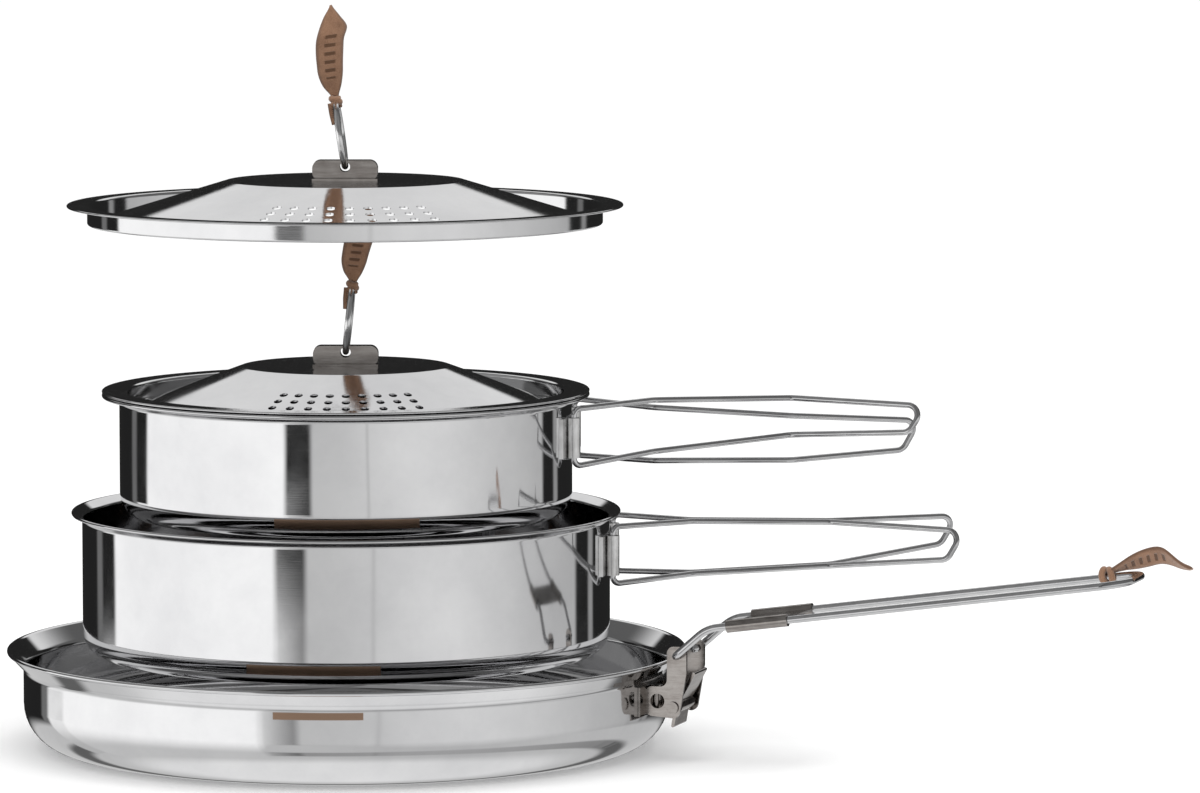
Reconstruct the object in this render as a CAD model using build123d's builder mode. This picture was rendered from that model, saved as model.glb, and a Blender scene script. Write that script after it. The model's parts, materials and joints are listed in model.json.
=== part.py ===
"""Camping cook pot set: frying pan, two pots with folding wire handles, two strainer lids.

The pieces stand on one vertical axis, each a little above the one below, as a set laid out for
show. Millimetres. The origin is the middle of the pan's flat bottom, +Z up, and +X towards
the pots' handles.
"""
import os
from math import cos, radians, sin

from build123d import *

# ---- overall sizes
pan_rim_r = 125.0
pan_height = 37.0
large_pot_rim_r = 101.0
large_pot_height = 53.3
small_pot_rim_r = 89.6
small_pot_height = 45.7

# ---- where each piece stands on the axis
large_pot_drop = 3.0         # large pot's bottom below the pan's rim
small_pot_drop = 2.5         # small pot's bottom below the large pot's rim
seat_gap = 0.35              # between the small lid's flange and its pot's rim
large_lid_lift = 68.2        # between the two lids' flanges

# ---- pressed sheet
pan_gauge = 1.2
pot_gauge = 0.7
lid_gauge = 0.7
pan_lip_width = 6.0          # wall to outermost edge
pan_lip_height = 7.0
pan_corner = 17.0            # bottom corner radius
large_pot_lip_width = 3.9
small_pot_lip_width = 6.4
pot_lip_height = 2.6
pot_corner = 9.0
lid_depth = 6.5              # how far the lid's plug reaches below its flange
large_lid_plug_gap = 1.9     # between the plug and the pot's inner wall
small_lid_plug_gap = 1.9
large_lid_plateau_r = 43.4
small_lid_plateau_r = 38.2
plateau_rise = 9.4           # top of the flange to top of the plateau
groove_floor = 1.5           # flat at the bottom of the lid's groove

# ---- strainer holes: rows of holes in the lid's front cone
hole_rows = 3
holes_per_row = 9
hole_pitch_angle = 6.05
large_hole_r = 1.65
large_hole_first_r = 63.0
large_hole_row_step = 5.6
large_hole_turn = 3.4        # how far the fan is turned from the front
small_hole_r = 1.5
small_hole_first_r = 54.5
small_hole_row_step = 5.0
small_hole_turn = 2.0

# ---- pot handles: two wire loops on each pot
loop_wire_r = 1.1
loop_half_pitch = 20.0       # pivots to the middle plane
loop_reach = (29.0, 80.0, 125.0)    # the two bends and the tip, outwards from the pivot
loop_middle_y = 2.0          # the long stretch to the middle plane
loop_tip_y = 24.5
loop_bend_r = 8.0
loop_tip_r = 4.0
loop_pivot_bend_r = 2.6
loop_tip_slant = 6.0         # the tip's top corner stands further out than its bottom one
loop_end_gap = 0.6           # between the wire's two ends, inside the knuckle
knuckle_r = 2.4
knuckle_length = 14.6
pivot_clearance = 0.05
pot_bracket_gauge = 0.8
pot_bracket_margin = 5.5     # plate beyond the pivots
knuckle_below_rim = 15.0     # the knuckles' middle below the pot's rim

# ---- lid brackets and rings
ring_wire_r = 1.15
ring_r = 11.6
ring_play = 0.75             # the ring's wire hangs loose in the clip's holes
ring_hole_height = 5.0
clip_width = 24.0
clip_height = 7.4
clip_gauge = 0.8
clip_spacing = 6.0           # outer faces of the two uprights
clip_foot = 3.2              # foot strip beyond each upright
clip_corner = 3.0
large_ring_lean = -8.0
small_ring_lean = 6.0
tag_width = 12.0
tag_gauge = 2.0
tag_knot_width = 4.4
tag_knot_height = 7.0
large_tag_length = 33.5
small_tag_length = 31.0
tag_clearance = 0.02

# ---- pan bracket, latch and handle
handle_azimuth = -18.0
pan_bracket_gauge = 1.2
pan_bracket_width = 34.0
pan_bracket_below_rim = 9.0
pan_bracket_height = 10.6
ear_half_pitch = 11.0
ear_gauge = 1.2
ear_rim_gap = 2.4            # between the pan's lip and the ears
hinge_out = 6.5              # the handle's pivot beyond the pan's lip
hinge_above_rim = 2.5
ear_window_r = 2.7
ear_pad_r = 3.3              # rounded top of each ear
handle_wire_r = 1.4
handle_half_width = 16.0
handle_pivot_inner = 8.0     # how near the middle plane the wire's ends reach
handle_corner_r = 3.0
handle_shoulder = (12.5, 11.0)      # outwards and up from the pivot
handle_tip = (167.0, 33.2)
handle_shoulder_r = 14.0
saddle_start = 20.0          # outwards from the pivot
saddle_length = 23.0
saddle_sleeve_r = 2.3
saddle_gauge = 0.9
latch_pin_r = 1.25
latch_out = 4.6              # the latch's pivot beyond the pan's lip
latch_below_rim = 16.5
latch_barrel_r = 2.5
latch_width = 15.0
latch_gauge = 1.2
latch_top = (6.6, 12.0)      # blade's end from its pivot
latch_foot = (-1.2, -7.2)
pan_knuckle_r = 2.3
pan_knuckle_length = 9.0
pan_knuckle_y = 6.3
rivet_head_r = 2.2
rivet_head_height = 0.9
handle_tag_length = 34.0

# ---- worked out from the sizes above
ring_hole_r = ring_wire_r + ring_play
pan_wall_r = pan_rim_r - pan_lip_width
large_pot_wall_r = large_pot_rim_r - large_pot_lip_width
small_pot_wall_r = small_pot_rim_r - small_pot_lip_width
large_pot_bottom_z = pan_height - large_pot_drop
small_pot_bottom_z = large_pot_bottom_z + large_pot_height - small_pot_drop
small_lid_z = small_pot_bottom_z + small_pot_height + seat_gap
large_lid_z = small_lid_z + large_lid_lift
large_knuckle_z = large_pot_bottom_z + large_pot_height - knuckle_below_rim
small_knuckle_z = small_pot_bottom_z + small_pot_height - knuckle_below_rim
pan_bracket_top_z = pan_height - pan_bracket_below_rim
pan_bracket_bottom_z = pan_bracket_top_z - pan_bracket_height
hinge_z = pan_height + hinge_above_rim
latch_z = pan_height - latch_below_rim
handle_plane = Plane(
    origin=(0, 0, 0),
    x_dir=(cos(radians(handle_azimuth)), sin(radians(handle_azimuth)), 0),
    z_dir=(0, 0, 1),
)
handle_side = Plane(origin=(0, 0, 0), x_dir=handle_plane.x_dir, z_dir=-handle_plane.y_dir)


def save(builder, name):
    """Label a finished piece and write it."""
    builder.part.label = name
    export_step(builder.part, f"parts/{name}.step")


# ---------------------------------------------------------------- vessels
def make_vessel(name, rim_r, height, wall_r, corner, lip_height, gauge, bottom_z):
    """A pressed dish: flat bottom, rounded corner, straight wall and flared lip."""
    inner_r = wall_r - gauge
    lip_z = height - lip_height
    with BuildPart() as vessel:
        with BuildSketch(Plane.XZ):
            with BuildLine():
                FilletPolyline(
                    (0, 0),
                    (wall_r, 0),
                    (wall_r, lip_z),
                    (rim_r, height - gauge),
                    (rim_r, height),
                    (inner_r, lip_z + gauge * 0.4),
                    (inner_r, gauge),
                    (0, gauge),
                    radius=[0, corner, lip_height / 2, gauge * 0.3, gauge * 0.3,
                            lip_height / 2, corner - gauge, 0],
                    close=True,
                )
            make_face()
        revolve(axis=Axis.Z)
    vessel.part.locate(Location((0, 0, bottom_z)))
    save(vessel, name)


make_vessel("frying_pan", pan_rim_r, pan_height, pan_wall_r, pan_corner, pan_lip_height,
            pan_gauge, 0)
make_vessel("large_pot", large_pot_rim_r, large_pot_height, large_pot_wall_r, pot_corner,
            pot_lip_height, pot_gauge, large_pot_bottom_z)
make_vessel("small_pot", small_pot_rim_r, small_pot_height, small_pot_wall_r, pot_corner,
            pot_lip_height, pot_gauge, small_pot_bottom_z)


# ---------------------------------------------------------------- lids
def make_lid(name, flange_r, plug_r, plateau_r, hole_r, first_r, row_step, turn, flange_z):
    """A pressed lid: flange, plug, deep groove, cone and raised plateau, with strainer holes."""
    groove_r = plug_r - groove_floor
    rise = plateau_rise - lid_gauge
    with BuildPart() as lid:
        with BuildSketch(Plane.XZ):
            with BuildLine():
                FilletPolyline(
                    (0, rise),
                    (plateau_r, rise),
                    (groove_r, -lid_depth),
                    (plug_r, -lid_depth),
                    (plug_r, 0),
                    (flange_r, 0),
                    (flange_r, lid_gauge),
                    (plug_r - lid_gauge, lid_gauge),
                    (plug_r - lid_gauge, lid_gauge - lid_depth),
                    (groove_r, lid_gauge - lid_depth),
                    (plateau_r, plateau_rise),
                    (0, plateau_rise),
                    radius=[0, 1.0, 0, 0.5, 0.4, 0.2, 0.2, 0.8, 0, 0, 1.4, 0],
                    close=True,
                )
            make_face()
        revolve(axis=Axis.Z)
        span = hole_pitch_angle * (holes_per_row - 1)
        first_angle = -90 + turn - span / 2
        for row in range(hole_rows):
            with PolarLocations(first_r + row * row_step, holes_per_row, first_angle, span,
                                endpoint=True):
                Hole(hole_r)
    lid.part.locate(Location((0, 0, flange_z)))
    save(lid, name)


large_plug_r = large_pot_wall_r - pot_gauge - large_lid_plug_gap
small_plug_r = small_pot_wall_r - pot_gauge - small_lid_plug_gap
make_lid("large_lid", large_pot_rim_r + 1.0, large_plug_r, large_lid_plateau_r, large_hole_r,
         large_hole_first_r, large_hole_row_step, large_hole_turn, large_lid_z)
make_lid("small_lid", small_pot_rim_r, small_plug_r, small_lid_plateau_r, small_hole_r,
         small_hole_first_r, small_hole_row_step, small_hole_turn, small_lid_z)


# ---------------------------------------------------------------- lid brackets, rings and tags
def make_clip(name, plateau_z):
    """A folded strip on the plateau: a foot and two uprights with one hole through both."""
    foot_depth = clip_spacing + 2 * clip_foot
    with BuildPart() as clip:
        with BuildSketch(Plane.XY.offset(plateau_z)):
            Rectangle(clip_width, foot_depth)
        extrude(amount=clip_gauge)
        for side in (-1, 1):
            outer_y = side * clip_spacing / 2
            with BuildSketch(Plane.XZ.offset(-outer_y)):
                with Locations((0, plateau_z + clip_height / 2)):
                    Rectangle(clip_width, clip_height)
                top = vertices().group_by(Axis.Z)[-1]
                fillet(top, clip_corner)
            extrude(amount=side * clip_gauge)
        with Locations(Location((0, 0, plateau_z + ring_hole_height), (90, 0, 0))):
            Hole(ring_hole_r)
    save(clip, name)


def make_ring(name, plateau_z, lean):
    """A wire ring that hangs in the clip's holes and leans over a little."""
    pivot_z = plateau_z + ring_hole_height
    with BuildPart() as ring:
        with BuildSketch(Plane.XY):
            with Locations((ring_r, 0)):
                Circle(ring_wire_r)
        revolve(axis=Axis.Y)
    ring.part.locate(
        Location((0, 0, pivot_z), (0, lean, 0)) * Location((0, 0, ring_r), (0, 0, 90))
    )
    save(ring, name)


def make_tag(name, plateau_z, lean, length):
    """A leather tag: a knot round the top of the ring and a leaf above it."""
    pivot_z = plateau_z + ring_hole_height
    knot_z = 2 * ring_r
    leaf_z = knot_z + tag_knot_height / 2
    with BuildPart() as tag:
        with BuildSketch(Plane.XY.offset(knot_z - tag_knot_height / 2)):
            RectangleRounded(tag_knot_width, tag_knot_width * 1.3, 1.2)
        extrude(amount=tag_knot_height)
        with BuildSketch(Plane.XZ):
            with BuildLine():
                outline = Spline(
                    (tag_knot_width * 0.4, leaf_z - 1.5),
                    (tag_width * 0.5, leaf_z + length * 0.42),
                    (0, leaf_z + length),
                    tangents=((0.3, 1), (-0.8, 1)),
                )
                mirror(outline, about=Plane.YZ)
                Line(outline @ 0, (-tag_knot_width * 0.4, leaf_z - 1.5))
            make_face()
        extrude(amount=tag_gauge / 2, both=True)
        with Locations(Location((0, 0, ring_r), (0, 90, 0))):
            Torus(ring_r, ring_wire_r + tag_clearance, mode=Mode.SUBTRACT)
    tag.part.locate(Location((0, 0, pivot_z), (0, lean, 0)))
    save(tag, name)


for size, flange_z, lean, length in (
    ("large", large_lid_z, large_ring_lean, large_tag_length),
    ("small", small_lid_z, small_ring_lean, small_tag_length),
):
    make_clip(f"{size}_lid_bracket", flange_z + plateau_rise)
    make_ring(f"{size}_lid_ring", flange_z + plateau_rise, lean)
    make_tag(f"{size}_lid_tag", flange_z + plateau_rise, lean, length)


# ---------------------------------------------------------------- pot handles
def pivot_x(wall_r):
    """Distance of a loop's pivot from the middle, outwards along X."""
    pivot_r = wall_r + pot_bracket_gauge + knuckle_r - 0.15
    return (pivot_r**2 - loop_half_pitch**2) ** 0.5


def make_pot_bracket(name, wall_r, mid_z):
    """A curved plate on the wall with a rolled knuckle at each end."""
    outer_r = wall_r + pot_bracket_gauge
    with BuildPart() as bracket:
        with BuildSketch(Plane.XY.offset(mid_z - knuckle_length / 2)):
            Circle(outer_r)
            Circle(wall_r, mode=Mode.SUBTRACT)
            with Locations((wall_r, 0)):
                Rectangle(wall_r, 2 * (loop_half_pitch + pot_bracket_margin),
                          mode=Mode.INTERSECT)
            with Locations((pivot_x(wall_r), loop_half_pitch),
                           (pivot_x(wall_r), -loop_half_pitch)):
                Circle(knuckle_r)
        extrude(amount=knuckle_length)
        with Locations((pivot_x(wall_r), loop_half_pitch, mid_z),
                       (pivot_x(wall_r), -loop_half_pitch, mid_z)):
            Hole(loop_wire_r + pivot_clearance)
    save(bracket, name)


def make_loop(name, wall_r, mid_z, side, top_z, bottom_z):
    """One wire loop: through the knuckle, out along two bends, and back below.

    top_z and bottom_z are the heights of the upper and lower wire over the knuckle's
    middle, at the pivot, at each bend and at the tip.
    """
    x = pivot_x(wall_r)
    reach = (0.0,) + loop_reach
    across = (loop_half_pitch, loop_middle_y, loop_middle_y, loop_tip_y)
    upper = [(x + r, side * y, mid_z + z) for r, y, z in zip(reach, across, top_z)]
    lower = [(x + r, side * y, mid_z + z) for r, y, z in zip(reach, across, bottom_z)]
    slant = loop_tip_slant / 2
    upper[-1] = (upper[-1][0] + slant, upper[-1][1], upper[-1][2])
    lower[-1] = (lower[-1][0] - slant, lower[-1][1], lower[-1][2])
    pivot = (x, side * loop_half_pitch)
    path = [(*pivot, mid_z + loop_end_gap / 2)] + upper
    path += lower[::-1] + [(*pivot, mid_z - loop_end_gap / 2)]
    bends = [loop_pivot_bend_r, loop_bend_r, loop_bend_r, loop_tip_r]
    with BuildPart() as loop:
        with BuildLine():
            FilletPolyline(*path, radius=bends + bends[::-1])
        with BuildSketch(Plane(origin=path[0], z_dir=(0, 0, 1))):
            Circle(loop_wire_r)
        sweep()
    save(loop, name)


pivot_rise = knuckle_length / 2 + loop_wire_r + loop_pivot_bend_r - 0.5
make_pot_bracket("large_pot_bracket", large_pot_wall_r, large_knuckle_z)
make_pot_bracket("small_pot_bracket", small_pot_wall_r, small_knuckle_z)
for name, side in (("near", -1), ("far", 1)):
    make_loop(f"large_pot_loop_{name}", large_pot_wall_r, large_knuckle_z, side,
              (pivot_rise, pivot_rise, pivot_rise - 0.3, pivot_rise - 1.0),
              (-pivot_rise, -pivot_rise + 1.5, -pivot_rise + 4.5, -pivot_rise + 9.5))
make_loop("small_pot_loop_near", small_pot_wall_r, small_knuckle_z, -1,
          (pivot_rise, pivot_rise + 1.6, pivot_rise + 2.4, pivot_rise + 1.6),
          (-pivot_rise, -pivot_rise + 3.6, -pivot_rise + 9.8, -pivot_rise + 13.0))
make_loop("small_pot_loop_far", small_pot_wall_r, small_knuckle_z, 1,
          (pivot_rise, pivot_rise - 1.5, pivot_rise - 4.6, pivot_rise - 8.6),
          (-pivot_rise, -pivot_rise - 0.2, -pivot_rise, -pivot_rise + 1.4))


# ---------------------------------------------------------------- pan bracket and latch
hinge_u = pan_rim_r + hinge_out
latch_u = pan_rim_r + latch_out
bracket_outer_r = pan_wall_r + pan_bracket_gauge

with BuildPart() as pan_bracket:
    with BuildSketch(handle_plane.offset(pan_bracket_bottom_z)):
        Circle(bracket_outer_r)
        Circle(pan_wall_r, mode=Mode.SUBTRACT)
        with Locations((pan_wall_r, 0)):
            Rectangle(pan_wall_r, pan_bracket_width, mode=Mode.INTERSECT)
        with Locations((bracket_outer_r + pan_knuckle_r * 0.7, pan_knuckle_y),
                       (bracket_outer_r + pan_knuckle_r * 0.7, -pan_knuckle_y)):
            Circle(pan_knuckle_r)
    extrude(amount=pan_bracket_height)
    ear_inner = pan_rim_r + ear_rim_gap
    ear_root = pan_wall_r + 0.25
    ear_outer = hinge_u + ear_pad_r
    ear_window_u = (bracket_outer_r + ear_inner) / 2
    for side in (-1, 1):
        ear_face = side * (ear_half_pitch - ear_gauge / 2)
        with BuildSketch(handle_side.offset(-ear_face)):
            with BuildLine():
                Polyline(
                    (ear_root, pan_bracket_bottom_z),
                    (latch_u + ear_pad_r - 1, pan_bracket_bottom_z - 1),
                    (ear_outer, hinge_z - 6),
                    (ear_outer, hinge_z + ear_pad_r),
                    (ear_inner, hinge_z + ear_pad_r),
                    (ear_inner, pan_bracket_top_z),
                    (ear_root, pan_bracket_top_z),
                    close=True,
                )
            make_face()
            fillet(vertices().group_by(Axis.Z)[-1], ear_pad_r * 0.8)
            with Locations((ear_window_u, (pan_bracket_top_z + pan_bracket_bottom_z) / 2)):
                Circle(ear_window_r, mode=Mode.SUBTRACT)
        extrude(amount=-side * ear_gauge)
    with Locations(handle_side * Location((hinge_u, hinge_z, 0))):
        Hole(handle_wire_r + pivot_clearance)
    with Locations(handle_side * Location((latch_u, latch_z, 0))):
        Hole(latch_pin_r)
save(pan_bracket, "pan_bracket")

ear_outside = ear_half_pitch + ear_gauge / 2
with BuildPart() as pan_latch_pin:
    with BuildSketch(handle_side.offset(-ear_outside)):
        with Locations((latch_u, latch_z)):
            Circle(latch_pin_r)
    extrude(amount=2 * ear_outside)
    for side in (-1, 1):
        with BuildSketch(handle_side.offset(side * ear_outside)):
            with Locations((latch_u, latch_z)):
                Circle(rivet_head_r)
        extrude(amount=side * rivet_head_height)
save(pan_latch_pin, "pan_latch_pin")

with BuildPart() as pan_latch_lever:
    with BuildSketch(handle_side):
        with Locations((latch_u, latch_z)):
            Circle(latch_barrel_r)
        for reach_u, reach_z in (latch_top, latch_foot):
            middle = (latch_u + reach_u / 2, latch_z + reach_z / 2)
            end = (latch_u + reach_u, latch_z + reach_z)
            SlotCenterPoint(middle, end, latch_gauge)
        with Locations((latch_u, latch_z)):
            Circle(latch_pin_r + pivot_clearance, mode=Mode.SUBTRACT)
    extrude(amount=latch_width / 2, both=True)
save(pan_latch_lever, "pan_latch_lever")

# ---------------------------------------------------------------- pan handle
shoulder_u = hinge_u + handle_shoulder[0]
tip_u = hinge_u + handle_tip[0]
shoulder_z = hinge_z + handle_shoulder[1]
tip_z = hinge_z + handle_tip[1]
half = handle_half_width


def handle_point(u, v, z):
    """A point given outwards, across and up, in the model's frame."""
    return handle_plane.from_local_coords(Vector(u, v, z))


with BuildPart() as pan_handle_wire:
    one_side = [
        (hinge_u, handle_pivot_inner, hinge_z),
        (hinge_u, half, hinge_z),
        (shoulder_u, half, shoulder_z),
        (tip_u, half, tip_z),
    ]
    other_side = [(u, -v, z) for u, v, z in reversed(one_side)]
    path = [handle_point(*point) for point in one_side + other_side]
    bends = [handle_corner_r, handle_shoulder_r, half * 0.6]
    with BuildLine():
        FilletPolyline(*path, radius=bends + bends[::-1])
    with BuildSketch(Plane(origin=path[0], z_dir=handle_plane.y_dir)):
        Circle(handle_wire_r)
    sweep()
save(pan_handle_wire, "pan_handle_wire")

slope = (tip_z - shoulder_z) / (tip_u - shoulder_u)


def wire_z(u):
    """Height of the handle's straight stretch."""
    return shoulder_z + slope * (u - shoulder_u)


saddle_u = hinge_u + saddle_start
along_wire = Vector(1, 0, slope).normalized()
saddle_plane = Plane(
    origin=handle_point(saddle_u, 0, wire_z(saddle_u)),
    x_dir=handle_plane.y_dir,
    z_dir=handle_plane.x_dir * along_wire.X + Vector(0, 0, along_wire.Z),
)
with BuildPart() as pan_handle_saddle:
    with BuildSketch(saddle_plane):
        with Locations((half, 0), (-half, 0)):
            Circle(saddle_sleeve_r)
        Rectangle(2 * half, saddle_gauge)
        with Locations((half, 0), (-half, 0)):
            Circle(handle_wire_r, mode=Mode.SUBTRACT)
    extrude(amount=saddle_length)
save(pan_handle_saddle, "pan_handle_saddle")

# the tag is knotted round the wire just before the end loop, rises, and curls outwards
knot_u = tip_u - 14.0
knot_length = 8.0
knot_plane = Plane(
    origin=handle_point(knot_u - knot_length / 2, half, wire_z(knot_u - knot_length / 2)),
    x_dir=handle_plane.y_dir,
    z_dir=saddle_plane.z_dir,
)
knot_z = wire_z(knot_u)
with BuildPart() as pan_tag:
    with BuildSketch(knot_plane):
        RectangleRounded(7.0, 6.4, 2.0)
        Circle(handle_wire_r, mode=Mode.SUBTRACT)
    extrude(amount=knot_length)
    with BuildSketch(handle_side.offset(-half)):
        with BuildLine():
            under = Spline(
                (knot_u - 1, knot_z + 2.0),
                (knot_u + handle_tag_length * 0.3, knot_z + 6.4),
                (knot_u + handle_tag_length * 0.58, knot_z + 8.2),
                (knot_u + handle_tag_length - 1, knot_z + 4.6),
            )
            over = Spline(
                (knot_u - 1, knot_z + 2.0 + tag_gauge),
                (knot_u + handle_tag_length * 0.3, knot_z + 6.4 + tag_gauge),
                (knot_u + handle_tag_length * 0.58 + 0.4, knot_z + 8.2 + tag_gauge),
                (knot_u + handle_tag_length, knot_z + 4.6 + tag_gauge),
            )
            Line(under @ 0, over @ 0)
            Line(under @ 1, over @ 1)
        make_face()
    extrude(amount=tag_width / 2, both=True)
save(pan_tag, "pan_tag")
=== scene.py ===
"""Camping cook pot set: polished pan, two pots, two strainer lids, wire handles, leather tags."""
import json
from math import atan2, cos, hypot, pi, radians, sin, tan

import bmesh
import bpy
from mathutils import Matrix, Vector


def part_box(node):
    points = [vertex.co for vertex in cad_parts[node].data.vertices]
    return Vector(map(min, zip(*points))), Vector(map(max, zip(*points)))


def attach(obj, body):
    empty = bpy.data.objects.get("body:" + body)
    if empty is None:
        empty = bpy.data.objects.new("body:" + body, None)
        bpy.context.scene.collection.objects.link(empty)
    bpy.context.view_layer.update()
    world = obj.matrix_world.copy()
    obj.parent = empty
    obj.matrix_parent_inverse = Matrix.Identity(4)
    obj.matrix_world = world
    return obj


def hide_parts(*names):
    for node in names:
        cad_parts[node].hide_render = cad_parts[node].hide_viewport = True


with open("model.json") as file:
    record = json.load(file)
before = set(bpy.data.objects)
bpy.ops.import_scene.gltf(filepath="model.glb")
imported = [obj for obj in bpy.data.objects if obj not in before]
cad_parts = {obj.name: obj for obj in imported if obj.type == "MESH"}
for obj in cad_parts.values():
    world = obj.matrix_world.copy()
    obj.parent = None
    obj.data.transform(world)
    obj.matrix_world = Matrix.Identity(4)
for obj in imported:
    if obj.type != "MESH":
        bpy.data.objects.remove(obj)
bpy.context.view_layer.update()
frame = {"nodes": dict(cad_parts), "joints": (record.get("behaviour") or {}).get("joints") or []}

mm = 0.001
joints = {joint["name"]: joint for joint in frame["joints"]}
FRONT_AZIMUTH = -90.0              # degrees, the side the strainer holes face

# sheets and wires, as in the CAD model
PAN_GAUGE = 1.2 * mm
POT_GAUGE = 0.7 * mm
LID_GAUGE = 0.7 * mm
PAN_LIP = 6.0 * mm
LARGE_LIP = 3.9 * mm
SMALL_LIP = 6.4 * mm
PLATEAU_RISE = 9.4 * mm
LID_DEPTH = 6.5 * mm
RING_R = 11.6 * mm
RING_WIRE_R = 1.15 * mm
LOOP_WIRE_R = 1.1 * mm
HANDLE_WIRE_R = 1.4 * mm

LONG_STRAIGHT = 4.0 * mm           # longer straights get a point HOLD_GAP inside each end
HOLD_GAP = 0.4 * mm
SAME_SPOT = 1e-7


# ------------------------------------------------------------------ shader helpers
MIX_COLOUR_INPUTS = (0, 6, 7)      # a Mix node's sockets for factor and the two colours
MIX_COLOUR_OUTPUT = 2


class Nodes:
    """Short calls for building one node tree."""

    def __init__(self, tree):
        self.tree = tree
        tree.nodes.clear()

    def add(self, kind, **settings):
        node = self.tree.nodes.new(kind)
        for name, value in settings.items():
            setattr(node, name, value)
        return node

    def link(self, source, target):
        self.tree.links.new(source, target)

    def feed(self, target, value):
        if isinstance(value, (int, float, tuple)):
            target.default_value = value
        else:
            self.link(value, target)

    def math(self, operation, a, b=0.0, c=0.0):
        node = self.add("ShaderNodeMath", operation=operation)
        for socket, value in zip(node.inputs, (a, b, c)):
            self.feed(socket, value)
        return node.outputs[0]

    def times(self, first, *others):
        for other in others:
            first = self.math("MULTIPLY", first, other)
        return first

    def plus(self, first, *others):
        for other in others:
            first = self.math("ADD", first, other)
        return first

    def less_band(self, value, low, high, soft, depth):
        """1 everywhere but between low and high, where it falls by depth."""
        return self.math("SUBTRACT", 1.0, self.times(self.band(value, low, high, soft), depth))

    def remap(self, value, low, high, to_low=0.0, to_high=1.0, smooth=False):
        node = self.add("ShaderNodeMapRange")
        node.interpolation_type = "SMOOTHSTEP" if smooth else "LINEAR"
        for socket, number in zip(node.inputs, (value, low, high, to_low, to_high)):
            self.feed(socket, number)
        return node.outputs[0]

    def band(self, value, low, high, soft):
        """1 between low and high, falling to 0 over soft on each side."""
        rise = self.remap(value, low - soft, low + soft, smooth=True)
        fall = self.remap(value, high - soft, high + soft, 1.0, 0.0, smooth=True)
        return self.times(rise, fall)

    def noise(self, vector, scale, detail=3.0, roughness=0.5):
        node = self.add("ShaderNodeTexNoise")
        self.link(vector, node.inputs["Vector"])
        node.inputs["Scale"].default_value = scale
        node.inputs["Detail"].default_value = detail
        node.inputs["Roughness"].default_value = roughness
        return node.outputs[0]

    def stretch(self, vector, scale):
        node = self.add("ShaderNodeMapping")
        self.link(vector, node.inputs["Vector"])
        node.inputs["Scale"].default_value = scale
        return node.outputs[0]

    def mix(self, factor, a, b):
        node = self.add("ShaderNodeMix", data_type="RGBA")
        for socket, value in zip(MIX_COLOUR_INPUTS, (factor, a, b)):
            self.feed(node.inputs[socket], value)
        return node.outputs[MIX_COLOUR_OUTPUT]

    def bump(self, height, distance, strength=1.0, normal=None):
        node = self.add("ShaderNodeBump")
        node.inputs["Strength"].default_value = strength
        node.inputs["Distance"].default_value = distance
        self.link(height, node.inputs["Height"])
        if normal is not None:
            self.link(normal, node.inputs["Normal"])
        return node.outputs[0]


def new_material(name):
    """An empty material: its node helper, its shader, and the place on the object."""
    material = bpy.data.materials.new(name)
    material.use_nodes = True
    nodes = Nodes(material.node_tree)
    shader = nodes.add("ShaderNodeBsdfPrincipled")
    output = nodes.add("ShaderNodeOutputMaterial")
    nodes.link(shader.outputs[0], output.inputs[0])
    place = nodes.add("ShaderNodeTexCoord").outputs["Object"]
    return material, nodes, shader, place


def spun_place(nodes, place):
    """A point as (radius, height, angle) about the set's axis, and its own x, y and z."""
    split = nodes.add("ShaderNodeSeparateXYZ")
    nodes.link(place, split.inputs[0])
    x, y, z = split.outputs
    radius = nodes.math("SQRT", nodes.plus(nodes.times(x, x), nodes.times(y, y)))
    join = nodes.add("ShaderNodeCombineXYZ")
    nodes.link(radius, join.inputs[0])
    nodes.link(z, join.inputs[1])
    nodes.link(nodes.times(nodes.math("ARCTAN2", y, x), 0.02), join.inputs[2])
    return join.outputs[0], x, y, z


def polished_steel(name, roughness=(0.035, 0.1), brushing=0.25, mark=None):
    """Polished sheet: faint spin lines, hairline scratches, soft smudges, slight waviness.

    mark is (middle x, middle z, half width, half height, least radius) of a plain tan bar.
    """
    material, nodes, shader, place = new_material(name)
    spun, x, y, z = spun_place(nodes, place)
    lines = nodes.noise(nodes.stretch(spun, (1.0, 1.0, 0.2)), 2600.0, 2.0, 0.6)
    smudges = nodes.noise(place, 24.0, 5.0, 0.62)
    scratches = nodes.noise(nodes.stretch(place, (60.0, 60.0, 1400.0)), 1.0, 4.0, 0.7)
    waves = nodes.noise(place, 13.0, 1.0, 0.4)
    clean, smudged, bar_tan = (0.80, 0.80, 0.805, 1), (0.70, 0.70, 0.71, 1), (0.42, 0.28, 0.20, 1)
    tone = nodes.mix(nodes.remap(smudges, 0.35, 0.7), clean, smudged)
    rough = nodes.remap(smudges, 0.35, 0.75, *roughness)
    rough = nodes.plus(rough, nodes.remap(scratches, 0.62, 0.8, 0.0, 0.05))
    normal = nodes.bump(waves, 0.0011, 0.55)
    normal = nodes.bump(lines, 0.00002, brushing, normal)
    if mark:
        middle_x, middle_z, half_width, half_height, least_radius = mark
        squares = nodes.plus(nodes.times(x, x), nodes.times(y, y))
        inside = nodes.times(
            nodes.band(x, middle_x - half_width, middle_x + half_width, 0.15 * mm),
            nodes.band(z, middle_z - half_height, middle_z + half_height, 0.15 * mm),
            nodes.math("LESS_THAN", y, 0.0),
            nodes.math("GREATER_THAN", squares, least_radius**2),
        )
        tone = nodes.mix(inside, tone, bar_tan)
        rough = nodes.plus(rough, nodes.times(inside, 0.35))
    nodes.link(tone, shader.inputs["Base Color"])
    nodes.link(rough, shader.inputs["Roughness"])
    nodes.link(normal, shader.inputs["Normal"])
    shader.inputs["Metallic"].default_value = 1.0
    return material


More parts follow.
